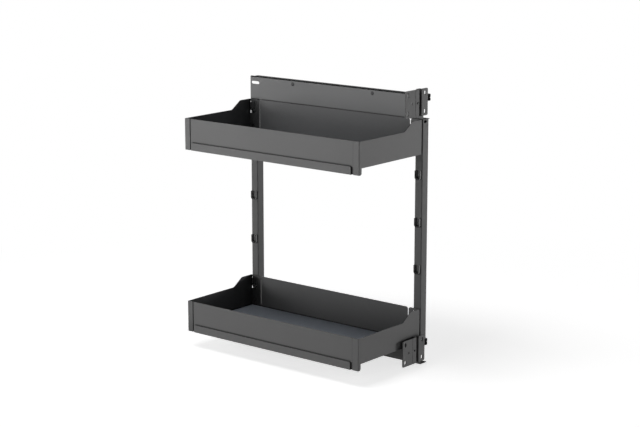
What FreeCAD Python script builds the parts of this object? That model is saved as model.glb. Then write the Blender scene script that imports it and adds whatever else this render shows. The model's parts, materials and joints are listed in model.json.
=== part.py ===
import FreeCAD, Part
import Sketcher
import math
import os
import re

# Pull-out bottle rack: two trays that hang on two posts, between two rails on
# full extension ball slides. x is the pull-out travel with the door at +x,
# y = 0 is the cabinet's side wall, z = 0 the middle of the upper slide. mm.

doc = FreeCAD.newDocument("BottleRack")
sheet = doc.addObject("Spreadsheet::Sheet", "Sizes")

driving = {
    # rails and posts
    "rackLength": 450, "railPitch": 499, "railHeight": 50, "railSheet": 1.5,
    "railTopDepth": 15, "railBottomDepth": 22, "channelDepth": 15.3,
    "railBend": 2.5, "flangeSetback": 8, "flangeRoot": 4, "keyholeInset": 13.35, "keyholeRise": 11.5,
    "keyholeLength": 22, "keyholeWidth": 6,
    "postWidth": 18, "postDepth": 20, "postWall": 1.5, "postBend": 2,
    "postHoleLength": 9, "postHoleWidth": 5, "postHoleDrop": 3.5, "postHoleInset": 8,
    # hooks
    "hookCount": 5, "hookPitch": 96, "hookWidth": 13, "hookHeight": 18, "hookWall": 1.5, "hookBend": 4.5,
    "hookReach": 4.7, "hookRise": 57.2, "hookLip": 0.7, "hookLipHeight": 7,
    "hookLipInward": 1.0, "hookTabHeight": 8, "hookTabTail": 1.2, "hookTabGap": 0.05,
    # trays
    "trayDrop": 105.5, "trayDepth": 200.8, "trayGap": 2.2, "frontHeight": 64.5,
    "wallHeight": 82, "wallRise": 13, "backHeight": 82, "slopeStart": 143,
    "slopeEnd": 169, "slopeBend": 10, "endSheet": 1.5, "endBend": 2.5, "capWidth": 14,
    "capCorner": 4, "capReturn": 8, "capEdge": 1.35, "wallCorner": 4.5, "panelSheet": 1, "panelSetback": 1.2,
    "panelTabStart": 3.5, "panelJog": 1, "panelFoot": 0.5, "panelBend": 0.9, "hemHeight": 7,
    "baseBend": 1.5,
    "stripHeight": 16, "stripInset": 18.5, "stripProud": 2, "stripSheet": 0.8, "stripCorner": 3,
    "skirtDrop": 8, "flangeWidth": 27, "slitWidth": 2.5, "windowWidth": 14,
    "windowFoot": 51.7, "windowHead": 77.5, "tongueGap": 0.3, "tongueCorner": 4,
    "seatGap": 0.3,
    "matSheet": 1.5, "matGap": 1.5, "matCorner": 4,
    "padRise": 28, "padRadius": 5, "padShank": 2.5, "padButton": 3.5,
    "padButtonHeight": 1.2, "pinGap": 0.05,
    # slides
    "slideInset": 25, "slideHeight": 45, "slideDepth": 12.7, "rearExtra": 13,
    "webSheet": 1.2, "outerFlange": 1.55, "outerBend": 0.75, "outerFlangeDepth": 11, "stageGap": 1.1,
    "middleHalf": 16.85, "middleFlange": 1.9, "middleFlangeDepth": 10,
    "innerHalf": 10.85, "innerFlange": 1.5, "innerFlangeStart": 4.9,
    "ballCount": 9, "ballRadius": 2.38, "raceGap": 0.04, "cageEnd": 11,
    "outerBallDepth": 6, "outerBallRise": 18.9, "innerBallDepth": 7.5,
    "innerBallRise": 12.9, "cageLength": 190, "cageSheet": 0.5, "cageGap": 0.3,
    "outerCageDepth": 9, "innerCageDepth": 9.9, "cageBar": 10,
    "cageWindowCount": 4, "cageWindowHeight": 18,
    "fixingPitch": 320, "fixingRadius": 2.5, "fixingSink": 3.6, "fixingSinkDepth": 0.7, "accessRadius": 5,
    # pieces between slide and rail
    "carrierRearInset": 116.5, "carrierFrontInset": 125.5, "carrierWidth": 30,
    "carrierWall": 2, "carrierFoot": -9, "carrierHead": 21,
    "railRivetRise": 17, "railRivetRadius": 4, "rivetShank": 2, "rivetCrown": 1.2,
    "rivetTail": 1.2, "rivetTailRadius": 2.8,
    "carrierRivetRise": 5, "carrierRivetRadius": 3, "carrierRivetHead": 0.8,
    # door side
    "armLength": 75, "armSheet": 2, "armFoot": 1.5, "armHead": 21.5,
    "armReach": 33.5, "armGap": 0.7, "armBend": 3, "armInnerBend": 0.6,
    "plateStandoff": 8, "plateRise": 13.5, "plateHeight": 53.5, "plateWidth": 72.8,
    "plateSheet": 2,
    "plateCorner": 3, "grooveDepth": 5.3, "grooveWidth": 6.5, "grooveInset": 20.7,
    "grooveWall": 2, "grooveBend": 1.4, "creaseInset": 40.5, "creaseWidth": 1.2, "creaseDepth": 0.5,
    "slotInset": 9, "slotPitchAcross": 55.4, "slotPitchUp": 36.3,
    "slotLength": 8.8, "slotWidth": 5.5, "screwHoleInset": 33.5,
    "screwHolePitch": 20, "screwHoleRadius": 2.5, "screwHoleSink": 4.2, "screwSinkDepth": 1.4,
    "plateRivetRadius": 2.6, "plateRivetPitch": 12,
    "forkFoot": 17.2, "forkSheet": 1.5, "forkWidth": 14, "forkBack": 1.8,
    "forkGap": 0.1, "forkNip": 0.25, "rollerInset": 5, "rollerWall": 6.6, "rollerRadius": 6,
    "rollerWaist": 3, "rollerFlange": 5.6, "rollerGap": 0.3, "rollerEdge": 0.8,
    # soft-close unit and stops
    "housingOverhang": 3, "housingLength": 75, "housingFoot": -19,
    "housingHeight": 22, "housingDepth": 12.2, "housingWall": 1.2,
    "damperRadius": 4, "damperLength": 46, "damperStart": 22, "pistonRadius": 1.5,
    "pistonHold": 15,
    "damperRise": -13, "catchWidth": 8, "catchHeight": 8, "catchBend": 1.5,
    "fingerSheet": 3, "fingerReach": 22, "fingerHeight": 10, "fingerFoot": -18,
    "footSheet": 2, "footLength": 9.5,
    "bufferLength": 7.2, "bufferDepth": 10.8, "bufferHeight": 14, "bufferBend": 1.5,
}

worked = {
    "halfLength": "rackLength / 2",
    "railFront": "-(slideDepth + channelDepth)",
    "railInside": "railFront + railSheet",
    "postTop": "-railHeight / 2",
    "postFoot": "-railPitch + railHeight / 2",
    "trayBack": "railFront - trayGap",
    "trayFront": "trayBack - trayDepth",
    "upperTrayFoot": "-trayDrop",
    "lowerTrayFoot": "-trayDrop - (hookCount - 1) * hookPitch",
    "panelFace": "trayFront + panelSetback",
    "panelBack": "panelFace + panelSheet",
    "tabFace": "trayFront + endSheet",
    "tabBack": "tabFace + panelSheet",
    "hemHalf": "halfLength - capWidth - panelJog - 2 * panelSheet",
    "backHalf": "halfLength - flangeWidth - slitWidth",
    "tongueWidth": "hookWidth - 2 * hookWall - 2 * tongueGap",
    "padDepth": "trayGap - seatGap",
    "shankLength": "(trayGap + padButtonHeight) / 2 + endSheet",
    "tongueFoot": "hookRise + hookWall + seatGap",
    "slideLength": "rackLength - 2 * slideInset",
    "slideHalf": "slideHeight / 2",
    "ballPitch": "(cageLength - 2 * cageEnd) / (ballCount - 1)",
    "cageWindowPitch": "(cageLength - cageBar) / cageWindowCount",
    "cageWindow": "cageWindowPitch - cageBar",
    "raceRadius": "ballRadius + raceGap",
    "middleWeb": "webSheet + stageGap",
    "innerWeb": "slideDepth - webSheet",
    "slideEnd": "slideLength / 2",
    "carrierRear": "-halfLength + carrierRearInset",
    "carrierFront": "halfLength - carrierFrontInset",
    "housingStart": "-slideEnd - housingOverhang",
    "plateBack": "halfLength + plateStandoff",
    "plateFace": "plateBack + plateSheet",
    "grooveBack": "plateFace - grooveDepth",
    "armStart": "halfLength - armLength",
    "armBack": "halfLength + armGap",
    "armFace": "armBack + armSheet",
    "plateNear": "railInside",
    "plateFar": "plateNear - plateWidth",
    "grooveNear": "plateNear - grooveInset",
    "grooveFar": "grooveNear - grooveWidth",
    "grooveMiddle": "(grooveNear + grooveFar) / 2",
    "rollerX": "halfLength - rollerInset",
    "forkHead": "forkFoot + forkSheet",
}

for row, (name, value) in enumerate(driving.items(), 1):
    sheet.set("A%d" % row, name)
    sheet.set("B%d" % row, str(value))
    sheet.setAlias("B%d" % row, name)
for row, (name, formula) in enumerate(worked.items(), len(driving) + 2):
    sheet.set("A%d" % row, name)
    sheet.set("B%d" % row, "=" + formula)
    sheet.setAlias("B%d" % row, name)
doc.recompute()

known = set(driving) | set(worked)
pieces = []
sameSpot = 1e-4
sameLine = 0.999


def bound(text):
    # an expression in which each size is read from the sheet
    def fromSheet(word):
        return "Sizes." + word.group() if word.group() in known else word.group()
    return re.sub(r"[A-Za-z]\w*", fromSheet, str(text))


def number(text):
    return float(sheet.evalExpression(bound(text)))


def places(count, pitch):
    # places along a line, evenly spaced about zero
    copies = round(number(count))
    return ["(%d - (%s - 1) / 2) * %s" % (i, count, pitch) for i in range(copies)]


def tie(item, name, text):
    item.setExpression(name, bound(text))


def pin(sketch, edge, point, u, v):
    # place a point of an edge from the sketch's origin
    for kind, text in (("DistanceX", u), ("DistanceY", v)):
        index = sketch.addConstraint(Sketcher.Constraint(kind, edge, point, number(text)))
        tie(sketch, "Constraints[%d]" % index, text)


def polygon(*corners):
    def draw(sketch):
        ends = [FreeCAD.Vector(number(u), number(v), 0) for u, v in corners]
        first = sketch.GeometryCount
        count = len(ends)
        for i in range(count):
            sketch.addGeometry(Part.LineSegment(ends[i], ends[(i + 1) % count]), False)
        for i in range(count):
            following = first + (i + 1) % count
            sketch.addConstraint(Sketcher.Constraint("Coincident", first + i, 2, following, 1))
        for i, (u, v) in enumerate(corners):
            pin(sketch, first + i, 1, u, v)
    return draw


def box(u0, v0, u1, v1):
    return polygon((u0, v0), (u1, v0), (u1, v1), (u0, v1))


def circle(u, v, radius):
    def draw(sketch):
        centre = FreeCAD.Vector(number(u), number(v), 0)
        edge = sketch.addGeometry(Part.Circle(centre, FreeCAD.Vector(0, 0, 1), number(radius)), False)
        pin(sketch, edge, 3, u, v)
        index = sketch.addConstraint(Sketcher.Constraint("Radius", edge, number(radius)))
        tie(sketch, "Constraints[%d]" % index, radius)
    return draw


def slot(u, v, width, length, upright):
    # a straight slot with round ends
    def draw(sketch):
        reach = "((%s) - (%s)) / 2" % (length, width)
        half = number(width) / 2
        turn = 0 if upright else -math.pi / 2
        near = (u, "(%s) + %s" % (v, reach)) if upright else ("(%s) + %s" % (u, reach), v)
        far = (u, "(%s) - %s" % (v, reach)) if upright else ("(%s) - %s" % (u, reach), v)
        arcs = []
        for (a, b), start in ((near, turn), (far, turn + math.pi)):
            centre = FreeCAD.Vector(number(a), number(b), 0)
            full = Part.Circle(centre, FreeCAD.Vector(0, 0, 1), half)
            arcs.append(sketch.addGeometry(Part.ArcOfCircle(full, start, start + math.pi), False))
        ends = []
        for arc in arcs:
            ends.append((sketch.getPoint(arc, 1), sketch.getPoint(arc, 2)))
        first = sketch.addGeometry(Part.LineSegment(ends[0][1], ends[1][0]), False)
        second = sketch.addGeometry(Part.LineSegment(ends[1][1], ends[0][0]), False)
        for a, b in ((arcs[0], first), (first, arcs[1]), (arcs[1], second), (second, arcs[0])):
            sketch.addConstraint(Sketcher.Constraint("Tangent", a, 2, b, 1))
        pin(sketch, arcs[0], 3, *near)
        pin(sketch, arcs[1], 3, *far)
        index = sketch.addConstraint(Sketcher.Constraint("Radius", arcs[0], half))
        tie(sketch, "Constraints[%d]" % index, "(%s) / 2" % width)
    return draw


def newBody(name):
    body = doc.addObject("PartDesign::Body", name)
    body.Label = name
    body.AllowCompound = True
    pieces.append(body)
    return body


def attach(item, body, plane, place):
    origin = [f for f in body.Origin.OriginFeatures if f.Role == plane + "_Plane"][0]
    item.AttachmentSupport = [(origin, "")]
    item.MapMode = "FlatFace"
    tie(item, "AttachmentOffset.Base.z", place)


def feature(kind, body, plane, low, high, shapes):
    # the origin's XZ plane looks along -y, so its places are turned round
    pad = kind == "Pad"
    if plane == "XZ":
        place = "-(%s)" % (high if pad else low)
    else:
        place = low if pad else high
    sketch = body.newObject("Sketcher::SketchObject", "%s_sketch" % body.Name)
    attach(sketch, body, plane, place)
    for shape in shapes:
        shape(sketch)
    made = body.newObject("PartDesign::" + kind, "%s_%s" % (body.Name, kind.lower()))
    made.Profile = sketch
    tie(made, "Length", "(%s) - (%s)" % (high, low))
    return made


def grow(body, plane, low, high, *shapes):
    return feature("Pad", body, plane, low, high, shapes)


def carve(body, plane, low, high, *shapes):
    return feature("Pocket", body, plane, low, high, shapes)


def sink(body, plane, place, u, v, near, far, depth):
    # countersink from its near radius, at the place, to its far one along the plane's normal
    cone = body.newObject("PartDesign::SubtractiveCone", body.Name + "_sink")
    attach(cone, body, plane, place)
    tie(cone, "AttachmentOffset.Base.x", u)
    tie(cone, "AttachmentOffset.Base.y", v)
    tie(cone, "Radius1", near)
    tie(cone, "Radius2", far)
    tie(cone, "Height", depth)


def bend(body, radius, axis, *spots):
    # round the straight edges along an axis that pass through the given spots
    doc.recompute()
    across = [i for i in range(3) if i != axis]
    corners = [[number(value) for value in spot] for spot in spots]
    chosen = []
    for index, edge in enumerate(body.Shape.Edges, 1):
        ends = [vertex.Point for vertex in edge.Vertexes]
        if len(ends) < 2 or edge.Curve.TypeId != "Part::GeomLine":
            continue
        along = ends[1] - ends[0]
        if abs(along[axis]) < sameLine * along.Length:
            continue
        for corner in corners:
            if all(abs(ends[0][a] - p) < sameSpot for a, p in zip(across, corner)):
                chosen.append("Edge%d" % index)
    base = body.Tip
    fillet = body.newObject("PartDesign::Fillet", body.Name + "_bend")
    fillet.Base = (base, chosen)
    tie(fillet, "Radius", radius)


def span(side, near, far):
    # two places along x, given as distances in from the rack's end
    if side > 0:
        return "halfLength - (%s)" % far, "halfLength - (%s)" % near
    return "-halfLength + (%s)" % near, "-halfLength + (%s)" % far


def solid(kind, name, x, y, z, **sizes):
    item = doc.addObject("Part::" + kind, name)
    for size, text in sizes.items():
        tie(item, size, text)
    tie(item, "Placement.Base.x", x)
    tie(item, "Placement.Base.y", y)
    tie(item, "Placement.Base.z", z)
    return item


def turned(item, axis, angle):
    item.Placement = FreeCAD.Placement(item.Placement.Base, FreeCAD.Rotation(FreeCAD.Vector(*axis), angle))
    return item


def fused(name, parts):
    item = doc.addObject("Part::MultiFuse", name)
    item.Shapes = parts
    return item


def group(name, parts):
    item = doc.addObject("Part::Compound", name)
    item.Links = parts
    item.Label = name
    pieces.append(item)
    return item


def makeRail(name, middle):
    body = newBody(name)
    top = "%s + railHeight / 2" % middle
    foot = "%s - railHeight / 2" % middle
    ends = ("-halfLength", "halfLength")
    grow(body, "YZ", *ends, polygon(
        ("railFront", foot), ("railFront + railBottomDepth", foot),
        ("railFront + railBottomDepth", foot + " + railSheet"), ("railInside", foot + " + railSheet"),
        ("railInside", top + " - railSheet"), ("railFront + railTopDepth", top + " - railSheet"),
        ("railFront + railTopDepth", top), ("railFront", top)))
    rise = "%s + railRivetRise" % middle
    holes = [circle(x, rise, "rivetShank + pinGap") for x in ("carrierRear", "carrierFront")]
    keyhole = slot("-halfLength + keyholeInset", "%s + keyholeRise" % middle, "keyholeWidth", "keyholeLength",
                   False)
    carve(body, "XZ", "railFront", "railInside", keyhole, *holes)
    bend(body, "railBend", 0, ("railFront", foot), ("railFront", top))
    bend(body, "railBend - railSheet", 0,
         ("railInside", foot + " + railSheet"), ("railInside", top + " - railSheet"))
    for side in (-1, 1):
        low, high = span(side, 0, "flangeSetback")
        carve(body, "XY", top + " - flangeRoot", top,
              box(low, "railFront + flangeRoot", high, "railFront + railTopDepth"))


def makePost(name, side):
    body = newBody(name)
    low, high = span(side, 0, "postWidth")
    back = "railFront + postDepth"
    grow(body, "XY", "postFoot", "postTop", box(low, "railFront", high, back))
    bend(body, "postBend", 2, (low, "railFront"), (high, "railFront"), (low, back), (high, back))
    carve(body, "XY", "postFoot", "postTop", box(
        low + " + postWall", "railFront + postWall", high + " - postWall", back + " - postWall"))
    slots = []
    for level in range(round(number("hookCount"))):
        for arm in (-1, 1):
            slots.append(tabBox(side, level, arm, "hookTabGap"))
    carve(body, "XZ", "railFront", "railFront + postWall", *slots)
    low, high = span(side, 0, "postWall")
    carve(body, "YZ", low, high, slot(
        "railFront + postHoleInset", "postTop - postHoleDrop", "postHoleWidth", "postHoleLength", False))


def tabBox(side, level, arm, gap):
    # section of one of the two tabs that join a cradle to its post
    centre = "%s * (halfLength - postWidth / 2)" % side
    inner = "%s + %d * (hookWidth / 2 - hookWall) - %d * %s" % (centre, arm, arm, gap)
    outer = "%s + %d * hookWidth / 2 + %d * %s" % (centre, arm, arm, gap)
    foot = "-trayDrop + hookRise + hookBend + hookTabGap - %d * hookPitch" % level
    low, high = (inner, outer) if arm > 0 else (outer, inner)
    return box(low, "%s - %s" % (foot, gap), high, "%s + hookTabHeight + %s" % (foot, gap))


def makeHooks(name, side):
    body = newBody(name)
    centre = "%s * (halfLength - postWidth / 2)" % side
    half = "hookWidth / 2"
    cradles, lips, tabs = [], [], []
    outer, inner = [], []
    lipWall = "hookWall + hookLipInward"
    for level in range(round(number("hookCount"))):
        foot = "-trayDrop + hookRise - %d * hookPitch" % level
        left, right = centre + " - " + half, centre + " + " + half
        for outlines, wall, head in ((cradles, "hookWall", "hookHeight"), (lips, lipWall, "hookLipHeight")):
            floor, rim = "%s + %s" % (foot, wall), "%s + %s" % (foot, head)
            outlines.append(polygon(
                (left, foot), (right, foot), (right, rim), ("%s - (%s)" % (right, wall), rim),
                ("%s - (%s)" % (right, wall), floor), ("%s + %s" % (left, wall), floor),
                ("%s + %s" % (left, wall), rim), (left, rim)))
        for arm in (-1, 1):
            edge = "%s + %d * (%s - (%s))"
            outer.append((edge % (centre, arm, half, "0"), foot))
            inner.append((edge % (centre, arm, half, "hookWall"), foot + " + hookWall"))
            tabs.append(tabBox(side, level, arm, "0"))
    grow(body, "XZ", "railFront - hookReach", "railFront", *cradles)
    bend(body, "hookBend - hookWall", 1, *inner)
    grow(body, "XZ", "railFront - hookReach", "railFront - hookReach + hookLip", *lips)
    bend(body, "hookBend", 1, *outer)
    grow(body, "XZ", "railFront - hookLip", "railFront + postWall + hookTabTail", *tabs)


def makeTrayEnd(name, foot, side):
    body = newBody(name)
    wallFoot, wallHead = foot + " + wallRise", foot + " + wallHeight"
    frontHead = foot + " + frontHeight"
    outer, inner = "%s * halfLength" % side, "%s * (halfLength - endSheet)" % side
    # cap folded round the front corner, then the wall behind it
    low, high = span(side, 0, "capWidth")
    grow(body, "XZ", "trayFront", "tabFace", box(low, foot, high, frontHead))
    low, high = span(side, 0, "endSheet")
    grow(body, "YZ", low, high, box("tabFace", foot, "trayFront + capReturn", frontHead))
    bend(body, "capEdge", 2, (outer, "trayFront"))
    bend(body, "capCorner", 0, ("trayFront + capReturn", foot))
    grow(body, "YZ", low, high, polygon(
        ("tabFace", wallFoot), ("tabFace", frontHead), ("trayFront + slopeStart", frontHead),
        ("trayFront + slopeEnd", wallHead), ("trayBack", wallHead), ("trayBack", wallFoot)))
    bend(body, "slopeBend", 0,
         ("trayFront + slopeStart", frontHead), ("trayFront + slopeEnd", wallHead))
    low, high = span(side, 0, "flangeWidth")
    grow(body, "XZ", "trayBack - endSheet", "trayBack", box(low, wallFoot, high, wallHead))
    bend(body, "endBend", 2, (outer, "trayBack"))
    bend(body, "endBend - endSheet", 2, (inner, "tabFace"), (inner, "trayBack - endSheet"))
    flangeEdge = "%s * (halfLength - flangeWidth)" % side
    bend(body, "wallCorner", 1, (flangeEdge, wallHead), (flangeEdge, wallFoot))
    # window over the cradle, with the tongue that hangs in it
    centre = "%s * (halfLength - postWidth / 2)" % side
    half, tongue = "windowWidth / 2", "tongueWidth / 2"
    windowHead = foot + " + windowHead"
    windowFoot = foot + " + windowFoot"
    tongueFoot = foot + " + tongueFoot"
    carve(body, "XZ", "trayBack - endSheet", "trayBack",
          polygon((centre + " - " + half, windowFoot), (centre + " + " + half, windowFoot),
                  (centre + " + " + half, windowHead), (centre + " + " + tongue, windowHead),
                  (centre + " + " + tongue, tongueFoot), (centre + " - " + tongue, tongueFoot),
                  (centre + " - " + tongue, windowHead), (centre + " - " + half, windowHead)),
          circle(centre, foot + " + padRise", "padShank + pinGap"))
    bend(body, "tongueCorner", 1,
         (centre + " - " + tongue, tongueFoot), (centre + " + " + tongue, tongueFoot))


def makeLongSide(name, foot):
    body = newBody(name)
    half = "halfLength - capWidth"
    right = [
        ("halfLength - panelTabStart", "tabFace"), ("halfLength - panelTabStart", "tabBack"),
        (half + " - panelJog - panelSheet", "tabBack"),
        (half + " - panelJog - panelSheet", "panelBack")]
    face = [(half + " - panelJog", "panelFace"), (half + " - panelJog", "tabFace")]
    mirrored = [("-(%s)" % x, y) for x, y in reversed(right)]
    mirroredFace = [("-(%s)" % x, y) for x, y in reversed(face)]
    grow(body, "XY", foot + " + panelFoot", foot + " + frontHeight",
         polygon(*right, *mirrored, *mirroredFace, *face))
    head = foot + " + frontHeight"
    grow(body, "XY", head + " - hemHeight", head,
         box("-hemHalf", "panelBack", "hemHalf", "panelBack + panelSheet"))
    bend(body, "panelBend", 0, ("panelFace", head), ("panelBack + panelSheet", head))


def makeTrimStrip(name, foot):
    body = newBody(name)
    half = "halfLength - stripInset"
    front, back = "trayFront - stripProud", "panelFace"
    head = foot + " + stripHeight"
    grow(body, "XZ", front, back, box("-(%s)" % half, foot, half, head))
    bend(body, "stripCorner", 1, (half, head), ("-(%s)" % half, head))
    bend(body, "stripSheet", 0, (front, foot), (front, head))
    inside = half + " - stripSheet"
    carve(body, "XZ", front + " + stripSheet", back,
          box("-(%s)" % inside, foot + " + stripSheet", inside, head + " - stripSheet"))


def makeBase(name, foot):
    body = newBody(name)
    low, high = foot + " + wallRise", foot + " + wallRise + panelSheet"
    side, cut = "halfLength - endSheet", "endBend"
    front, back = "tabBack", "trayBack - endSheet"
    corners = [
        (side, front), (side, "%s - %s" % (back, cut)), ("%s - %s" % (side, cut), back)]
    mirrored = [("-(%s)" % x, y) for x, y in reversed(corners)]
    grow(body, "XY", low, high, polygon(*corners, *mirrored))
    grow(body, "XY", low, high, box("-backHalf", back, "backHalf", "trayBack"))
    grow(body, "XY", low, high, box("-hemHalf", "panelBack", "hemHalf", front))
    grow(body, "XY", low + " - skirtDrop", high,
         box("-hemHalf", "panelBack", "hemHalf", "panelBack + panelSheet"))
    head = foot + " + backHeight"
    grow(body, "XZ", "trayBack - panelSheet", "trayBack", box("-backHalf", low, "backHalf", head))
    bend(body, "baseBend", 0, ("trayBack", low))
    bend(body, "baseBend - panelSheet", 0, ("trayBack - panelSheet", high))
    bend(body, "wallCorner", 1, ("backHalf", head), ("-backHalf", head))


def makeMat(name, foot):
    body = newBody(name)
    low = foot + " + wallRise + panelSheet"
    side = "halfLength - endSheet - matGap"
    front, back = "tabBack + matGap", "trayBack - endSheet - matGap"
    grow(body, "XY", low, low + " + matSheet", box("-(%s)" % side, front, side, back))
    bend(body, "matCorner", 2,
         ("-(%s)" % side, front), (side, front), ("-(%s)" % side, back), (side, back))


def makeRestPads(name, foot):
    pads = []
    for side in (-1, 1):
        x = "%s * (halfLength - postWidth / 2)" % side
        z = foot + " + padRise"
        pad = solid("Cylinder", name + "_pad", x, "railFront - seatGap", z,
                    Radius="padRadius", Height="padDepth")
        shank = solid("Cylinder", name + "_shank", x, "trayBack + trayGap / 2", z,
                      Radius="padShank", Height="shankLength")
        button = solid("Cylinder", name + "_button", x, "trayBack - endSheet", z,
                       Radius="padButton", Height="padButtonHeight")
        for item in (pad, shank, button):
            turned(item, (1, 0, 0), 90)
        pads.append(fused(name + "_one", [pad, shank, button]))
    group(name, pads)


def raceCircles(middle, depth, rise):
    return [circle("-" + depth, "%s + %d * %s" % (middle, s, rise), "raceRadius") for s in (-1, 1)]


def channel(back, front, half, flange, web, middle, webAtBack):
    # open profile of a slide member: web at the wall side or at the open side
    top, foot = "%s + %s" % (middle, half), "%s - (%s)" % (middle, half)
    innerTop, innerFoot = "%s - %s" % (top, flange), "%s + %s" % (foot, flange)
    if webAtBack:
        wall = "-(%s) - %s" % (back, web)
        return polygon(("-(%s)" % back, foot), ("-(%s)" % back, top), ("-(%s)" % front, top),
                       ("-(%s)" % front, innerTop), (wall, innerTop), (wall, innerFoot),
                       ("-(%s)" % front, innerFoot), ("-(%s)" % front, foot))
    wall = "-(%s) + %s" % (front, web)
    return polygon(("-(%s)" % front, foot), ("-(%s)" % front, top), ("-(%s)" % back, top),
                   ("-(%s)" % back, innerTop), (wall, innerTop), (wall, innerFoot),
                   ("-(%s)" % back, innerFoot), ("-(%s)" % back, foot))


def makeCabinetMember(name, middle):
    body = newBody(name)
    ends = ("-slideEnd - rearExtra", "slideEnd")
    grow(body, "YZ", *ends, channel(
        "0", "outerFlangeDepth", "slideHalf", "outerFlange", "webSheet", middle, True))
    carve(body, "YZ", *ends, *raceCircles(middle, "outerBallDepth", "outerBallRise"))
    fixings = ["-fixingPitch / 2", "fixingPitch / 2"]
    carve(body, "XZ", "-webSheet", "0", *[circle(x, middle, "fixingRadius") for x in fixings])
    for x in fixings:
        sink(body, "XZ", "webSheet - fixingSinkDepth", x, middle, "fixingRadius", "fixingSink",
             "fixingSinkDepth")
    bend(body, "outerBend", 0, ("0", "%s + slideHalf" % middle), ("0", "%s - slideHalf" % middle))


def makeMiddleMember(name, middle):
    body = newBody(name)
    ends = ("-slideEnd", "slideEnd")
    grow(body, "YZ", *ends, channel(
        "middleWeb", "middleFlangeDepth", "middleHalf", "middleFlange", "webSheet", middle, True))
    carve(body, "YZ", *ends, *raceCircles(middle, "outerBallDepth", "outerBallRise"),
          *raceCircles(middle, "innerBallDepth", "innerBallRise"))
    # access for the screwdriver: over the front fixing hole when fully open
    access = "fixingPitch / 2 - slideLength / 2"
    carve(body, "XZ", "-middleWeb - webSheet", "-middleWeb",
          circle(access, middle, "accessRadius"), circle("-(%s)" % access, middle, "accessRadius"))


def makeDrawerMember(name, middle):
    body = newBody(name)
    ends = ("-slideEnd", "slideEnd")
    grow(body, "YZ", *ends, channel(
        "innerFlangeStart", "slideDepth", "innerHalf", "innerFlange", "webSheet", middle, False))
    carve(body, "YZ", *ends, *raceCircles(middle, "innerBallDepth", "innerBallRise"))
    holes = []
    for x in ("carrierRear", "carrierFront"):
        for s in (-1, 1):
            holes.append(circle(x, "%s + %d * carrierRivetRise" % (middle, s), "rivetShank + pinGap"))
    carve(body, "XZ", "-slideDepth", "-innerWeb", *holes)


def makeCage(name, middle, back, depth, rise, ballDepth):
    body = newBody(name)
    ends = ("-cageLength / 2", "cageLength / 2")
    half = "%s + cageSheet / 2" % rise
    grow(body, "YZ", *ends, channel(back, depth, half, "cageSheet", "cageSheet", middle, True))
    balls = [circle(x, "-" + ballDepth, "raceRadius") for x in places("ballCount", "ballPitch")]
    for s in (-1, 1):
        centre = "%s + %d * %s" % (middle, s, rise)
        carve(body, "XY", centre + " - cageSheet", centre + " + cageSheet", *balls)
    windows = []
    for x in places("cageWindowCount", "cageWindowPitch"):
        windows.append(box(x + " - cageWindow / 2", middle + " - cageWindowHeight / 2",
                           x + " + cageWindow / 2", middle + " + cageWindowHeight / 2"))
    carve(body, "XZ", "-(%s) - cageSheet" % back, "-(%s)" % back, *windows)


def makeBalls(name, middle, depth, rise):
    balls = []
    for s in (-1, 1):
        z = "%s + %d * %s" % (middle, s, rise)
        for x in places("ballCount", "ballPitch"):
            balls.append(solid("Sphere", name + "_ball", x, "-" + depth, z, Radius="ballRadius"))
    group(name, balls)


def makeCarriers(name, middle):
    body = newBody(name)
    outlines = []
    for x in ("carrierRear", "carrierFront"):
        low, high = x + " - carrierWidth / 2", x + " + carrierWidth / 2"
        outlines.append(box(low, "railInside", high, "-slideDepth"))
        outlines.append(box(low + " + carrierWall", "railInside + carrierWall",
                            high + " - carrierWall", "-slideDepth - carrierWall"))
    grow(body, "XY", "%s + carrierFoot" % middle, "%s + carrierHead" % middle, *outlines)
    rise = "%s + railRivetRise" % middle
    front = [circle(x, rise, "rivetShank + pinGap") for x in ("carrierRear", "carrierFront")]
    carve(body, "XZ", "railInside", "railInside + carrierWall", *front)
    back = []
    for x in ("carrierRear", "carrierFront"):
        for s in (-1, 1):
            back.append(circle(x, "%s + %d * carrierRivetRise" % (middle, s), "rivetShank + pinGap"))
    carve(body, "XZ", "-slideDepth - carrierWall", "-slideDepth", *back)


def rivet(name, axis, x, y, z, shank, head, crown, grip, tailRadius):
    # domed head at the given face, shank through the grip, turned over tail
    dome = "(%s * %s + %s * %s) / (2 * %s)" % (head, head, crown, crown, crown)
    turn = ((1, 0, 0), 90) if axis == "y" else ((0, 1, 0), 90)
    along = [x, y, z]
    index = 1 if axis == "y" else 0
    sign = -1 if axis == "y" else 1

    def place(offset):
        spot = list(along)
        spot[index] = "(%s) + %d * (%s)" % (along[index], sign, offset)
        return spot
    cap = solid("Sphere", name + "_cap", *place("%s - %s" % (crown, dome)), Radius=dome,
                Angle1="asin(1 - %s / (%s))" % (crown, dome), Angle2="90")
    pinBody = solid("Cylinder", name + "_shank", *place("-(%s) - rivetTail" % grip), Radius=shank,
                    Height="%s + rivetTail" % grip)
    tail = solid("Cylinder", name + "_tail", *place("-(%s) - rivetTail" % grip), Radius=tailRadius,
                 Height="rivetTail")
    for item in (cap, pinBody, tail):
        turned(item, *turn)
    return fused(name + "_one", [cap, pinBody, tail])


def plateRivetHoles(middle):
    return [circle("grooveMiddle", rise, "rivetShank + pinGap") for rise in plateRivetRises(middle)]


def plateRivetRises(middle):
    return ["%s + (armFoot + armHead) / 2 + %d * plateRivetPitch / 2" % (middle, s) for s in (-1, 1)]


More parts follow.
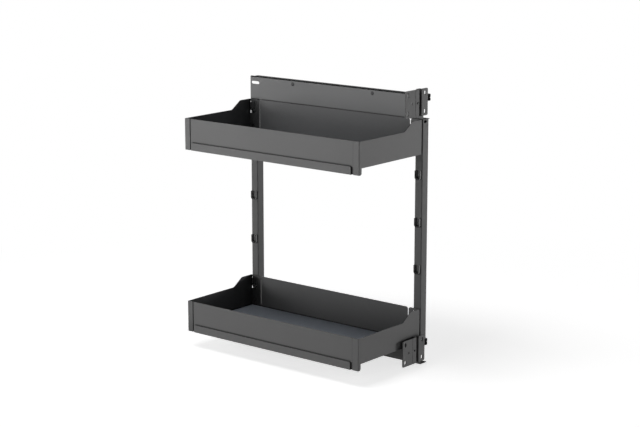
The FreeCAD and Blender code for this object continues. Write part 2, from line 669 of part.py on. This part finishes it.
def makeDoorArm(name, middle):
    body = newBody(name)
    foot, head = "%s + armFoot" % middle, "%s + armHead" % middle
    inside = "railInside + armSheet"
    grow(body, "XY", foot, head, polygon(
        ("armStart", "railInside"), ("armBack", "railInside"), ("armBack", "railInside - armReach"),
        ("armFace", "railInside - armReach"), ("armFace", inside), ("armStart", inside)))
    bend(body, "armBend", 2, ("armFace", inside))
    bend(body, "armInnerBend", 2, ("armBack", "railInside"))
    # fork that carries the roller
    low, high = "rollerX - forkWidth / 2", "rollerX + rollerWaist"
    notch = "rollerWaist + forkGap"
    forkSpan = ("%s + forkFoot" % middle, "%s + forkHead" % middle)
    grow(body, "XY", *forkSpan, box(low, inside, high, "-forkBack"))
    carve(body, "XY", *forkSpan, circle("rollerX", "-rollerWall", notch))
    carve(body, "XY", *forkSpan,
          box("rollerX", "-rollerWall - (%s) + forkNip" % notch, high, "-rollerWall + %s - forkNip" % notch))
    carve(body, "YZ", "armBack", "armFace", *plateRivetHoles(middle))


def makeRoller(name, middle):
    body = newBody(name)
    waistFoot, waistHead = "%s + forkFoot - rollerGap" % middle, "%s + forkHead + rollerGap" % middle
    low, high = waistFoot + " - rollerFlange", waistHead + " + rollerFlange"
    centre = ("rollerX", "-rollerWall")
    grow(body, "XY", low, waistFoot, circle(*centre, "rollerRadius"))
    grow(body, "XY", waistFoot, waistHead, circle(*centre, "rollerWaist"))
    grow(body, "XY", waistHead, high, circle(*centre, "rollerRadius"))
    doc.recompute()
    edges = []
    for index, edge in enumerate(body.Shape.Edges, 1):
        flat = edge.Curve.TypeId == "Part::GeomCircle" and edge.BoundBox.ZLength < sameSpot
        level = edge.BoundBox.ZMin
        outer = min(abs(level - number(low)), abs(level - number(high))) < sameSpot
        if flat and outer:
            edges.append("Edge%d" % index)
    base = body.Tip
    chamfer = body.newObject("PartDesign::Chamfer", name + "_edge")
    chamfer.Base = (base, edges)
    tie(chamfer, "Size", "rollerEdge")


def makeDoorPlate(name, middle):
    body = newBody(name)
    foot = "%s + plateRise - plateHeight / 2" % middle
    head = "%s + plateRise + plateHeight / 2" % middle
    grow(body, "XY", foot, head, polygon(
        ("plateFace", "plateFar"), ("plateFace", "grooveFar"), ("grooveBack", "grooveFar"),
        ("grooveBack", "grooveNear"), ("plateFace", "grooveNear"), ("plateFace", "plateNear"),
        ("plateBack", "plateNear"), ("plateBack", "grooveNear + grooveWall"),
        ("grooveBack - grooveWall", "grooveNear + grooveWall"),
        ("grooveBack - grooveWall", "grooveFar - grooveWall"),
        ("plateBack", "grooveFar - grooveWall"), ("plateBack", "plateFar")))
    centre = "%s + plateRise" % middle
    slots = []
    for across in ("0", "slotPitchAcross"):
        for s in (-1, 1):
            rise = "%s + %d * slotPitchUp / 2" % (centre, s)
            slots.append(slot("plateNear - slotInset - " + across, rise, "slotWidth", "slotLength", True))
    screws = ["plateNear - screwHoleInset", "plateNear - screwHoleInset - screwHolePitch"]
    screwHoles = [circle(y, centre, "screwHoleRadius") for y in screws]
    carve(body, "YZ", "plateBack", "plateFace", *slots, *screwHoles)
    for y in screws:
        sink(body, "YZ", "plateBack", y, centre, "screwHoleSink", "screwHoleRadius", "screwSinkDepth")
    carve(body, "XY", foot, head, polygon(
        ("plateFace", "plateNear - creaseInset - creaseWidth / 2"),
        ("plateFace", "plateNear - creaseInset + creaseWidth / 2"),
        ("plateFace - creaseDepth", "plateNear - creaseInset")))
    carve(body, "YZ", "armFace", "grooveBack", *plateRivetHoles(middle))
    bend(body, "plateCorner", 0,
         ("plateNear", foot), ("plateNear", head), ("plateFar", foot), ("plateFar", head))
    bend(body, "grooveBend", 2, ("plateFace", "grooveFar"), ("plateFace", "grooveNear"))


def makeSoftClose():
    start, end = "housingStart", "housingStart + housingLength"
    foot, head = "housingFoot", "housingFoot + housingHeight"
    back = "railInside + housingDepth"
    housing = newBody("soft_close_housing")
    grow(housing, "YZ", start, end, box("railInside", foot, back, head))
    carve(housing, "XZ", "railInside + housingWall", back, box(
        start + " + housingWall", foot + " + housingWall", end + " - housingWall", head + " - housingWall"))
    centreY = "railInside + housingWall + damperRadius"
    centreZ = "damperRise"
    carve(housing, "YZ", start, start + " + housingWall", circle(centreY, centreZ, "pistonRadius + pinGap"))
    cylinder = newBody("soft_close_cylinder")
    low = start + " + damperStart"
    high = low + " + damperLength"
    grow(cylinder, "YZ", low, high, circle(centreY, centreZ, "damperRadius"))
    carve(cylinder, "YZ", low, low + " + pistonHold", circle(centreY, centreZ, "pistonRadius + pinGap"))
    piston = newBody("soft_close_piston")
    grow(piston, "YZ", start, low + " + pistonHold", circle(centreY, centreZ, "pistonRadius"))
    block = newBody("soft_close_catch")
    finger = "-slideEnd - rearExtra + fingerSheet"
    grow(block, "YZ", finger + " + seatGap", start, box(
        centreY + " - catchWidth / 2", centreZ + " - catchHeight / 2",
        centreY + " + catchWidth / 2", centreZ + " + catchHeight / 2"))
    bend(block, "catchBend", 0, (centreY + " - catchWidth / 2", centreZ + " + catchHeight / 2"),
         (centreY + " + catchWidth / 2", centreZ + " + catchHeight / 2"))


def makeActivator():
    body = newBody("soft_close_activator")
    start = "-slideEnd - rearExtra"
    foot, head = "fingerFoot", "fingerFoot + fingerHeight"
    grow(body, "YZ", start, start + " + fingerSheet", box("-fingerReach", foot, "-webSheet", head))
    grow(body, "XZ", "-webSheet - footSheet", "-webSheet", box(start, foot, start + " + footLength", head))


def makeBuffer(name, middle):
    body = newBody(name)
    deep = "-webSheet - bufferDepth"
    foot, head = middle + " - bufferHeight / 2", middle + " + bufferHeight / 2"
    grow(body, "YZ", "-slideEnd - seatGap - bufferLength", "-slideEnd - seatGap",
         box(deep, foot, "-webSheet", head))
    bend(body, "bufferBend", 0, (deep, foot), (deep, head))


levels = (("upper", "0"), ("lower", "-railPitch"))
for level, middle in levels:
    makeCabinetMember(level + "_cabinet_member", middle)
    makeMiddleMember(level + "_middle_member", middle)
    makeDrawerMember(level + "_drawer_member", middle)
    makeCage(level + "_outer_cage", middle, "webSheet + cageGap", "outerCageDepth",
             "outerBallRise", "outerBallDepth")
    makeCage(level + "_inner_cage", middle, "middleWeb + webSheet + cageGap", "innerCageDepth",
             "innerBallRise", "innerBallDepth")
    makeBalls(level + "_outer_balls", middle, "outerBallDepth", "outerBallRise")
    makeBalls(level + "_inner_balls", middle, "innerBallDepth", "innerBallRise")
    makeBuffer(level + "_rear_buffer", middle)
    makeRail(level + "_rail", middle)
    makeCarriers(level + "_slide_carriers", middle)
    makeDoorArm(level + "_door_arm", middle)
    makeDoorPlate(level + "_door_plate", middle)
    makeRoller(level + "_guide_roller", middle)

makeActivator()
makeSoftClose()

for end, side in (("rear", -1), ("front", 1)):
    makePost(end + "_post", side)
    makeHooks(end + "_post_hooks", side)

for level, foot in (("upper", "upperTrayFoot"), ("lower", "lowerTrayFoot")):
    prefix = level + "_tray_"
    makeLongSide(prefix + "long_side", foot)
    makeTrimStrip(prefix + "trim_strip", foot)
    makeTrayEnd(prefix + "rear_end", foot, -1)
    makeTrayEnd(prefix + "door_end", foot, 1)
    makeBase(prefix + "base", foot)
    makeMat(prefix + "mat", foot)
    makeRestPads(prefix + "rest_pads", foot)

railRivets, carrierRivets, plateRivets = [], [], []
for level, middle in levels:
    for x in ("carrierRear", "carrierFront"):
        rise = "%s + railRivetRise" % middle
        railRivets.append(rivet("rail_rivet", "y", x, "railFront", rise, "rivetShank", "railRivetRadius",
                                "rivetCrown", "railSheet + carrierWall", "rivetTailRadius"))
        for s in (-1, 1):
            # these are set from inside the slide, so the tail is in the box
            z = "%s + %d * carrierRivetRise" % (middle, s)
            shank = solid("Cylinder", "carrier_rivet_shank", x, "-innerWeb + carrierRivetHead", z,
                          Radius="rivetShank", Height="webSheet + carrierWall + rivetTail + carrierRivetHead")
            head = solid("Cylinder", "carrier_rivet_head", x, "-innerWeb + carrierRivetHead", z,
                         Radius="carrierRivetRadius", Height="carrierRivetHead")
            tail = solid("Cylinder", "carrier_rivet_tail", x, "-slideDepth - carrierWall", z,
                         Radius="rivetTailRadius", Height="rivetTail")
            for item in (shank, head, tail):
                turned(item, (1, 0, 0), 90)
            carrierRivets.append(fused("carrier_rivet", [shank, head, tail]))
    for z in plateRivetRises(middle):
        plateRivets.append(rivet("plate_rivet", "x", "grooveBack", "grooveMiddle", z, "rivetShank",
                                 "plateRivetRadius", "rivetCrown", "grooveWall + armSheet",
                                 "rivetTailRadius"))
group("rail_rivets", railRivets)
group("carrier_rivets", carrierRivets)
group("plate_rivets", plateRivets)

doc.recompute()
for item in doc.Objects:
    if "Invalid" in item.State or "Error" in item.State:
        raise RuntimeError("%s failed: %s" % (item.Name, item.State))
os.makedirs("parts", exist_ok=True)
for piece in pieces:
    shape = piece.Shape
    if shape.isNull() or not shape.isValid() or not shape.Solids:
        raise RuntimeError("%s has no valid shape" % piece.Label)
    shape.exportStep("parts/%s.step" % piece.Label)
    size = shape.BoundBox
    print("%-26s solids %2d volume %9.1f  x %7.1f %7.1f  y %7.1f %7.1f  z %7.1f %7.1f" % (
        piece.Label, len(shape.Solids), shape.Volume, size.XMin, size.XMax, size.YMin, size.YMax,
        size.ZMin, size.ZMax))
print("nodes", len(pieces))
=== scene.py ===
import json
import bpy
import numpy as np
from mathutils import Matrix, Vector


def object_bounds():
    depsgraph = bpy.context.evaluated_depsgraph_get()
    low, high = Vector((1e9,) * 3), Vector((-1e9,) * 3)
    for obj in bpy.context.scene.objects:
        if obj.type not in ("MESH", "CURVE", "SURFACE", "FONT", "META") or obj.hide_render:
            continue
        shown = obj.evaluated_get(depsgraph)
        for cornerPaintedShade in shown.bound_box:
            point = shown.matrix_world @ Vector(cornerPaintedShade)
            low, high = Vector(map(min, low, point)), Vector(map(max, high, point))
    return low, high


# Looks of a pull-out bottle rack: powder coated sheet, zinc plated slides,
# moulded black parts and plastic mats, in a plain soft studio. Each piece is
# the CAD's own solid and gets only its finish here.

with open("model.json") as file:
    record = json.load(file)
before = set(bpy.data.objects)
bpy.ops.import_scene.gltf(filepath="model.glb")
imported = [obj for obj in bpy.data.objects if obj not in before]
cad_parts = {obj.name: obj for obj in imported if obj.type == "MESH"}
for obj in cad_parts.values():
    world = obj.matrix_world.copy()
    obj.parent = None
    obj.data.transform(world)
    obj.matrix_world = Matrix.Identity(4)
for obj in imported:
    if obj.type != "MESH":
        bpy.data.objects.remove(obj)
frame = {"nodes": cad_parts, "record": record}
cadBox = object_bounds()
mm = 0.001


def say(text):
    print("stage:", text)


# node trees: short ways to place and join nodes

def grey(value):
    return (value, value, value, 1.0)


def makeMaterial(name):
    material = bpy.data.materials.new(name)
    material.use_nodes = True
    material.node_tree.nodes.clear()
    return material, material.node_tree


def addNode(tree, kind, inputs, **settings):
    # the settings come first, because a node's sockets depend on them
    node = tree.nodes.new("ShaderNode" + kind)
    for key, value in settings.items():
        setattr(node, key, value)
    for key, value in inputs.items():
        if isinstance(value, bpy.types.NodeSocket):
            tree.links.new(value, node.inputs[key])
        else:
            node.inputs[key].default_value = value
    return node.outputs


def addMath(tree, operation, a, b, clamp=False):
    return addNode(tree, "Math", {0: a, 1: b}, operation=operation, use_clamp=clamp)[0]


def addMix(tree, factor, a, b):
    return addNode(tree, "Mix", {0: factor, 6: a, 7: b}, data_type="RGBA")[2]  # colour sockets


def addNoise(tree, vector, scale, detail):
    return addNode(tree, "TexNoise", {"Vector": vector, "Scale": scale, "Detail": detail})["Fac"]


def addSwing(tree, noise, width):
    # a noise around 0.5 becomes a swing of this width around 0
    return addMath(tree, "MULTIPLY", addMath(tree, "SUBTRACT", noise, 0.5), width)


def addScaled(tree, color, level):
    return addNode(tree, "VectorMath", {0: color, "Scale": level}, operation="SCALE")["Vector"]


def addFacing(tree, normalName, axis):
    normal = addNode(tree, "NewGeometry", {})[normalName]
    return addNode(tree, "SeparateXYZ", {0: normal})[axis]


def addSeenRays(tree):
    # 1 for what the eye sees, directly or in gloss and glass, and 0 for what lights the rack
    path = addNode(tree, "LightPath", {})
    mirrored = addMath(tree, "MAXIMUM", path["Is Glossy Ray"], path["Is Transmission Ray"])
    return addMath(tree, "MAXIMUM", path["Is Camera Ray"], mirrored)


def makeGroup(name, inputs, outputs):
    # inputs and outputs give each socket's name and kind
    tree = bpy.data.node_groups.new(name, "ShaderNodeTree")
    for way, sockets in (("INPUT", inputs), ("OUTPUT", outputs)):
        for label, kind in sockets.items():
            tree.interface.new_socket(label, in_out=way, socket_type="NodeSocket" + kind)
    return tree, tree.nodes.new("NodeGroupInput").outputs, tree.nodes.new("NodeGroupOutput").inputs


def fillGroup(tree, result, values):
    for label, value in values.items():
        tree.links.new(value, result[label])
    return tree


# shared effects

edgeLook = {"samples": 4, "patchScale": 90.0, "patchDetail": 3.0, "evenShare": 0.45, "gain": 1.6}


def makeEdgeGroup():
    # a mask that grows to 1 where the rounded normal turns away from the flat
    # one, on folds and cut edges, in uneven patches, and that rounded normal
    tree, given, result = makeGroup(
        "edgeMask", {"Radius": "Float", "Strength": "Float"}, {"Mask": "Float", "Normal": "Vector"})
    rounded = addNode(tree, "Bevel", {"Radius": given["Radius"]}, samples=edgeLook["samples"])[0]
    flat = addNode(tree, "NewGeometry", {})["True Normal"]
    likeness = addNode(tree, "VectorMath", {0: rounded, 1: flat}, operation="DOT_PRODUCT")["Value"]
    turned = addMath(tree, "SUBTRACT", 1.0, likeness)
    wide = addMath(tree, "MULTIPLY", turned, given["Strength"])
    coords = addNode(tree, "TexCoord", {})["Object"]
    patches = addNoise(tree, coords, edgeLook["patchScale"], edgeLook["patchDetail"])
    uneven = addMath(tree, "MULTIPLY", wide, addMath(tree, "ADD", patches, edgeLook["evenShare"]))
    mask = addMath(tree, "MULTIPLY", uneven, edgeLook["gain"], clamp=True)
    return fillGroup(tree, result, {"Mask": mask, "Normal": rounded})


grainLook = {"fineDetail": 2.0, "slowScale": 9.0, "slowDetail": 3.0, "middleScale": 140.0,
             "middleDetail": 4.0, "dust": (0.32, 0.31, 0.29, 1), "roughSwing": 0.16, "height": 0.15 * mm}


def makeGrainGroup():
    # fine surface relief, slow tone drift and settled dust on faces that look up
    tree, given, result = makeGroup(
        "surfaceGrain", {"Color": "Color", "Grain": "Float", "Relief": "Float", "Drift": "Float",
                         "Dust": "Float", "Normal": "Vector"},
        {"Color": "Color", "Rough": "Float", "Normal": "Vector"})
    coords = addNode(tree, "TexCoord", {})["Object"]
    fine = addNoise(tree, coords, given["Grain"], grainLook["fineDetail"])
    slow = addNoise(tree, coords, grainLook["slowScale"], grainLook["slowDetail"])
    middle = addNoise(tree, coords, grainLook["middleScale"], grainLook["middleDetail"])
    drift = addSwing(tree, slow, given["Drift"])
    speck = addSwing(tree, fine, given["Drift"])
    level = addMath(tree, "ADD", 1.0, addMath(tree, "ADD", drift, speck))
    upward = addMath(tree, "MAXIMUM", addFacing(tree, "Normal", "Z"), 0.0)
    settled = addMath(tree, "MULTIPLY", upward, middle)
    dusty = addMath(tree, "MULTIPLY", settled, given["Dust"], clamp=True)
    bump = addNode(tree, "Bump", {"Strength": given["Relief"], "Distance": grainLook["height"],
                                  "Height": fine, "Normal": given["Normal"]})
    return fillGroup(tree, result, {
        "Color": addMix(tree, dusty, addScaled(tree, given["Color"], level), grainLook["dust"]),
        "Rough": addSwing(tree, middle, grainLook["roughSwing"]), "Normal": bump[0]})


drawnLook = {"stretch": (6.0, 700.0, 700.0), "lineScale": 1.0, "lineDetail": 3.0, "lineShare": 0.6,
             "patchScale": 60.0, "patchDetail": 4.0, "patchShare": 0.4, "roughSwing": 0.3,
             "relief": 0.12, "height": 0.1 * mm}


def makeDrawnGroup():
    # drawn lines along x, with a slow patchiness of the plating
    tree, given, result = makeGroup(
        "drawnLines", {"Color": "Color", "Contrast": "Float", "Normal": "Vector"},
        {"Color": "Color", "Rough": "Float", "Normal": "Vector"})
    coords = addNode(tree, "TexCoord", {})["Object"]
    stretched = addNode(tree, "Mapping", {"Vector": coords, "Scale": drawnLook["stretch"]})[0]
    lines = addNoise(tree, stretched, drawnLook["lineScale"], drawnLook["lineDetail"])
    patches = addNoise(tree, coords, drawnLook["patchScale"], drawnLook["patchDetail"])
    both = addMath(tree, "ADD", addMath(tree, "MULTIPLY", lines, drawnLook["lineShare"]),
                   addMath(tree, "MULTIPLY", patches, drawnLook["patchShare"]))
    level = addMath(tree, "ADD", 1.0, addSwing(tree, both, given["Contrast"]))
    bump = addNode(tree, "Bump", {"Strength": drawnLook["relief"], "Distance": drawnLook["height"],
                                  "Height": lines, "Normal": given["Normal"]})
    return fillGroup(tree, result, {
        "Color": addScaled(tree, given["Color"], level),
        "Rough": addSwing(tree, patches, drawnLook["roughSwing"]), "Normal": bump[0]})


paintedShadeLook = {"samples": 8}


def makePaintedShadeGroup():
    # painted shade in seams, laps and inside corners, standing in for the light they miss: it starts
    # where the share of hidden sky passes Start and reaches Depth by Gain
    tree, given, result = makeGroup(
        "paintedSeamShade", {"Color": "Color", "Reach": "Float", "Depth": "Float", "Start": "Float",
                      "Gain": "Float"},
        {"Color": "Color"})
    sky = addNode(tree, "AmbientOcclusion", {"Distance": given["Reach"]}, samples=paintedShadeLook["samples"])
    hidden = addMath(tree, "SUBTRACT", 1.0, sky["AO"])
    past = addMath(tree, "SUBTRACT", hidden, given["Start"])
    spread = addMath(tree, "MULTIPLY", past, given["Gain"], clamp=True)
    level = addMath(tree, "SUBTRACT", 1.0, addMath(tree, "MULTIPLY", spread, given["Depth"]))
    return fillGroup(tree, result, {"Color": addScaled(tree, given["Color"], level)})


say("materials")
edgeGroup = makeEdgeGroup()
grainGroup = makeGrainGroup()
drawnGroup = makeDrawnGroup()
paintedShadeGroup = makePaintedShadeGroup()


# finishes: edge is the rounding of folds and cut edges and wear how far they
# take the worn colour; grain, relief, drift and dust go to surfaceGrain, and a
# drawn finish has a contrast instead

def makeFinish(name, look):
    material, tree = makeMaterial(name)
    edge = addNode(tree, "Group", {"Radius": look["edge"], "Strength": look["wear"]}, node_tree=edgeGroup)
    inputs = {"Color": look["color"], "Normal": edge["Normal"]}
    if "contrast" in look:
        inputs["Contrast"] = look["contrast"]
        body = addNode(tree, "Group", inputs, node_tree=drawnGroup)
    else:
        inputs.update({"Grain": look["grain"], "Relief": look["relief"], "Drift": look["drift"],
                       "Dust": look["dust"]})
        body = addNode(tree, "Group", inputs, node_tree=grainGroup)
    color = body["Color"]
    if "worn" in look:
        color = addMix(tree, edge["Mask"], color, look["worn"])
    # painted shade in seams and inside corners, darker where more sky is hidden
    for key in ("seamPaintedShade", "cornerPaintedShade"):
        if key in look:
            color = addNode(tree, "Group", dict(look[key], Color=color), node_tree=paintedShadeGroup)["Color"]
    # painted shade on the faces that look one way
    if "facing" in look:
        axis, comparison, limit, tone = look["facing"]
        shadedFaces = addMath(tree, comparison, addFacing(tree, "True Normal", axis), limit)
        color = addMix(tree, shadedFaces, color, tone)
    rough = addMath(tree, "ADD", body["Rough"], look["rough"], clamp=True)
    shader = addNode(tree, "BsdfPrincipled", {
        "Base Color": color, "Roughness": rough, "Normal": body["Normal"],
        "Metallic": look["metal"], "Specular IOR Level": look["specular"]})
    addNode(tree, "OutputMaterial", {0: shader[0]})
    return material


# painted shade: how far it reaches in mm, how dark, from what share hidden, and how fast
def paintedShade(reach, depth, start=0.0, gain=2.0):
    return {"Reach": reach * mm, "Depth": depth, "Start": start, "Gain": gain}


# painted shade: a darker tone on faces whose true normal looks up or forward past a limit
def paintedShadeUp(limit, tone):
    return ("Z", "GREATER_THAN", limit, grey(tone))


def paintedShadeForward(limit, tone):
    return ("Y", "LESS_THAN", -limit, grey(tone))


lacquer = dict(grain=1300.0, relief=0.22, drift=0.10, dust=0.0, rough=0.55, metal=0.0, specular=0.15)
plastic = dict(grain=2600.0, relief=0.3, drift=0.12, dust=0.0, metal=0.0, wear=0.5, edge=0.4 * mm)

looks = {
    "lacquer": dict(lacquer, color=grey(0.145), worn=grey(0.24), edge=0.7 * mm, wear=0.9,
                    seamPaintedShade=paintedShade(3.5, 0.85), facing=paintedShadeUp(0.7, 0.04)),
    # the rail's lacquer is painted lighter than the rest, painted light, and its faces that look up get
    # painted shade
    "railPaintedLightLacquer": dict(lacquer, color=grey(0.243), worn=grey(0.3), edge=0.7 * mm, wear=0.5, rough=0.65,
                        specular=0.03, seamPaintedShade=paintedShade(4.0, 0.9), facing=paintedShadeUp(0.3, 0.006)),
    "plateLacquer": dict(lacquer, color=grey(0.135), worn=grey(0.3), edge=0.9 * mm, wear=1.4, relief=0.25,
                         drift=0.14, seamPaintedShade=paintedShade(5.0, 1.0), facing=paintedShadeUp(0.7, 0.04)),
    "postLacquer": dict(lacquer, color=grey(0.125), worn=grey(0.2), edge=0.9 * mm, wear=0.6, rough=0.52,
                        seamPaintedShade=paintedShade(2.5, 0.8)),
    # the hooks' colour is painted light, lighter than the posts, and their faces that look forward get
    # painted shade, a dark rim
    "hookPaintedLightAndShade": dict(lacquer, color=grey(0.3), edge=0.3 * mm, wear=0.3, rough=0.52,
                    facing=paintedShadeForward(0.7, 0.008)),
    "rivetLacquer": dict(lacquer, color=grey(0.085), worn=grey(0.22), edge=0.5 * mm, wear=1.0, relief=0.2,
                         rough=0.5, seamPaintedShade=paintedShade(2.5, 0.9)),
    "rivetSteel": dict(color=grey(0.12), worn=grey(0.3), edge=0.3 * mm, wear=0.9, grain=1500.0, relief=0.1,
                       drift=0.15, dust=0.0, rough=0.4, metal=0.4, specular=0.5),
    "zinc": dict(color=(0.27, 0.28, 0.29, 1), worn=grey(0.42), edge=0.3 * mm, wear=0.8, contrast=0.3,
                 rough=0.55, metal=0.55, specular=0.3, seamPaintedShade=paintedShade(2.5, 0.8)),
    "cageSteel": dict(color=(0.33, 0.33, 0.31, 1), worn=grey(0.5), edge=0.15 * mm, wear=0.6, contrast=0.35,
                      rough=0.45, metal=0.9, specular=0.3, seamPaintedShade=paintedShade(1.5, 0.7)),
    "ballSteel": dict(color=grey(0.6), worn=grey(0.6), edge=0.05 * mm, wear=0.0, contrast=0.06,
                      rough=0.14, metal=1.0, specular=0.5),
    "blackPlastic": dict(plastic, color=grey(0.012), worn=grey(0.05), rough=0.42, specular=0.4),
    "unitPlastic": dict(plastic, color=grey(0.045), worn=grey(0.09), grain=2400.0, rough=0.45,
                        specular=0.45),
    "rollerPlastic": dict(plastic, color=grey(0.003), worn=grey(0.004), edge=0.3 * mm, wear=0.3, rough=0.6,
                          specular=0.05),
    "mat": dict(color=(0.285, 0.313, 0.36, 1), worn=(0.26, 0.285, 0.325, 1), edge=0.5 * mm, wear=0.3,
                grain=1700.0, relief=0.35, drift=0.08, dust=0.02, rough=0.34, metal=0.0, specular=0.5),
    "rubber": dict(color=grey(0.02), worn=grey(0.04), edge=0.5 * mm, wear=0.3, grain=1800.0, relief=0.4,
                   drift=0.15, dust=0.05, rough=0.7, metal=0.0, specular=0.3),
}

# the trays: a lighter tone for the upper and a darker one for the lower are painted light and shade for
# the light that falls off downwards; painted shade darkens the inside corners, deepest at the end walls;
# the base is painted a little lighter still and gets painted shade on its top edge
trayLacquer = dict(lacquer, worn=grey(0.25), edge=0.7 * mm, wear=0.9,
                   seamPaintedShade=paintedShade(3.5, 0.85), facing=paintedShadeUp(0.7, 0.04))
trayPaintedLightTones = {"upper": 0.175, "lower": 0.14}
# painted shade in the inside corners of each tray part, reaching far from the walls
trayPaintedCornerShades = {"End": paintedShade(120, 0.8, 0.12, 2.4), "Base": paintedShade(160, 0.7, 0.3, 1.6),
               "Front": paintedShade(70, 0.75, 0.28, 3.0)}
baseLook = {"paintedLightGain": 1.08, "specular": 0.05, "facing": paintedShadeUp(0.4, 0.01)}
for level, tone in trayPaintedLightTones.items():
    for place, cornerPaintedShade in trayPaintedCornerShades.items():
        looks[level + place] = dict(trayLacquer, color=grey(tone), cornerPaintedShade=cornerPaintedShade)
    looks[level + "Base"].update(color=grey(tone * baseLook["paintedLightGain"]), specular=baseLook["specular"],
                                 facing=baseLook["facing"])

finishes = {name: makeFinish(name, look) for name, look in looks.items()}

# a piece has its own finish or that of its material slot
slotFinish = {
    "grey_lacquer": "lacquer", "zinc_steel": "zinc", "cage_steel": "cageSteel",
    "ball_steel": "ballSteel", "rivet_steel": "rivetSteel", "mat_plastic": "mat",
    "black_plastic": "blackPlastic", "unit_plastic": "unitPlastic", "buffer_rubber": "rubber",
}
ownFinish = {
    "front_post": "postLacquer", "rear_post": "postLacquer",
    "front_post_hooks": "hookPaintedLightAndShade", "rear_post_hooks": "hookPaintedLightAndShade", "rail_rivets": "rivetLacquer",
}
for level in ("upper", "lower"):
    ownFinish.update({
        level + "_rail": "railPaintedLightLacquer", level + "_guide_roller": "rollerPlastic",
        level + "_door_arm": "plateLacquer", level + "_door_plate": "plateLacquer",
        level + "_tray_rear_end": level + "End", level + "_tray_base": level + "Base",
        level + "_tray_door_end": level + "Front", level + "_tray_long_side": level + "Front",
        level + "_tray_trim_strip": level + "Front",
    })
for part in frame["record"]["subparts"]:
    materials = frame["nodes"][part["node"]].data.materials
    materials.clear()
    materials.append(finishes[ownFinish.get(part["node"], slotFinish[part["material_slot"]])])


# studio

say("studio")
floorLook = {"half": 6.0, "drop": 0.4 * mm, "paper": 0.82, "rough": 0.9, "specular": 0.1,
             "glow": 0.72, "fadeFrom": 0.55, "fadeTo": 1.3}


def makeFloor():
    # pale paper just under the rack, which runs out into plain white a step away
    half = floorLook["half"]
    z = cadBox[0][2] - floorLook["drop"]
    mesh = bpy.data.meshes.new("floor")
    corners = [(-half, -half, z), (half, -half, z), (half, half, z), (-half, half, z)]
    mesh.from_pydata(corners, [], [(0, 1, 2, 3)])
    floor = bpy.data.objects.new("floor", mesh)
    bpy.context.scene.collection.objects.link(floor)
    material, tree = makeMaterial("floorPaper")
    seen = addSeenRays(tree)
    paper = addNode(tree, "BsdfPrincipled", {
        "Base Color": grey(floorLook["paper"]), "Roughness": floorLook["rough"],
        "Specular IOR Level": floorLook["specular"]})
    glow = addNode(tree, "Emission", {
        "Color": grey(1.0), "Strength": addMath(tree, "MULTIPLY", seen, floorLook["glow"])})
    near = addNode(tree, "AddShader", {0: paper[0], 1: glow[0]})
    coords = addNode(tree, "TexCoord", {})["Object"]
    away = addNode(tree, "VectorMath", {0: coords}, operation="LENGTH")["Value"]
    fade = addNode(tree, "MapRange", {
        "Value": away, "From Min": floorLook["fadeFrom"], "From Max": floorLook["fadeTo"]},
        interpolation_type="SMOOTHSTEP")[0]
    white = addNode(tree, "Emission", {"Color": grey(1.0), "Strength": 1.0})
    both = addNode(tree, "MixShader", {
        0: addMath(tree, "MULTIPLY", fade, seen), 1: near[0], 2: white[0]})
    addNode(tree, "OutputMaterial", {0: both[0]})
    mesh.materials.append(material)


worldLook = {"light": 0.015}


def makeWorld():
    # white behind the rack, with almost no light of its own
    world = bpy.data.worlds.new("studio")
    bpy.context.scene.world = world
    world.use_nodes = True
    tree = world.node_tree
    tree.nodes.clear()
    light = addNode(tree, "Background", {"Color": grey(1.0), "Strength": worldLook["light"]})
    white = addNode(tree, "Background", {"Color": grey(1.0), "Strength": 1.0})
    mixed = addNode(tree, "MixShader", {0: addSeenRays(tree), 1: light[0], 2: white[0]})
    addNode(tree, "OutputWorld", {0: mixed[0]})


lampTarget = (0.0, -0.12, -0.2)  # the middle of the rack, in metres
lamps = {  # place, width and height in metres, power in watts
    "frontLeftBox": ((-1.8, -2.2, -0.2), 1.0, 0.7, 28.0),
    "frontLeftHigh": ((-1.6, -2.2, 0.5), 1.2, 0.8, 8.0),
    "topFrontPanel": ((-0.2, -1.0, 1.6), 1.0, 0.6, 14.5),
    "sideBackBox": ((1.9, 1.7, -0.2), 1.0, 0.6, 27.0),
    "backLeftBox": ((-1.6, 1.9, 0.3), 1.0, 0.8, 6.0),
}


def makeLamp(name, place, width, height, power):
    data = bpy.data.lights.new(name, "AREA")
    data.shape = "RECTANGLE"
    data.size = width
    data.size_y = height
    data.energy = power
    lamp = bpy.data.objects.new(name, data)
    bpy.context.scene.collection.objects.link(lamp)
    lamp.location = place
    x, y, z = np.array(place) - np.array(lampTarget)
    lamp.rotation_euler = (np.arctan2(np.hypot(x, y), z), 0, np.arctan2(x, -y))


makeFloor()
makeWorld()
for name, lampLook in lamps.items():
    makeLamp(name, *lampLook)


# camera: the photograph's view, 39 degrees round from straight on to the long
# sides and 12 down, with the focal length in pixels of a picture 640 wide

say("camera")
view = {"place": (2.1748, -2.7382, 0.5099), "turn": 39.196, "down": 12.219, "focal": 1720.4,
        "picture": 640, "sensor": 36.0, "clipEnd": 50.0}
cameraData = bpy.data.cameras.new("camera")
cameraData.sensor_width = view["sensor"]
cameraData.sensor_fit = "HORIZONTAL"
cameraData.lens = view["focal"] / view["picture"] * view["sensor"]
cameraData.clip_end = view["clipEnd"]
camera = bpy.data.objects.new("camera", cameraData)
bpy.context.scene.collection.objects.link(camera)
camera.location = view["place"]
camera.rotation_euler = (np.radians(90 - view["down"]), 0, np.radians(view["turn"]))
bpy.context.scene.camera = camera
bpy.context.scene.view_settings.view_transform = "Standard"

say("done")
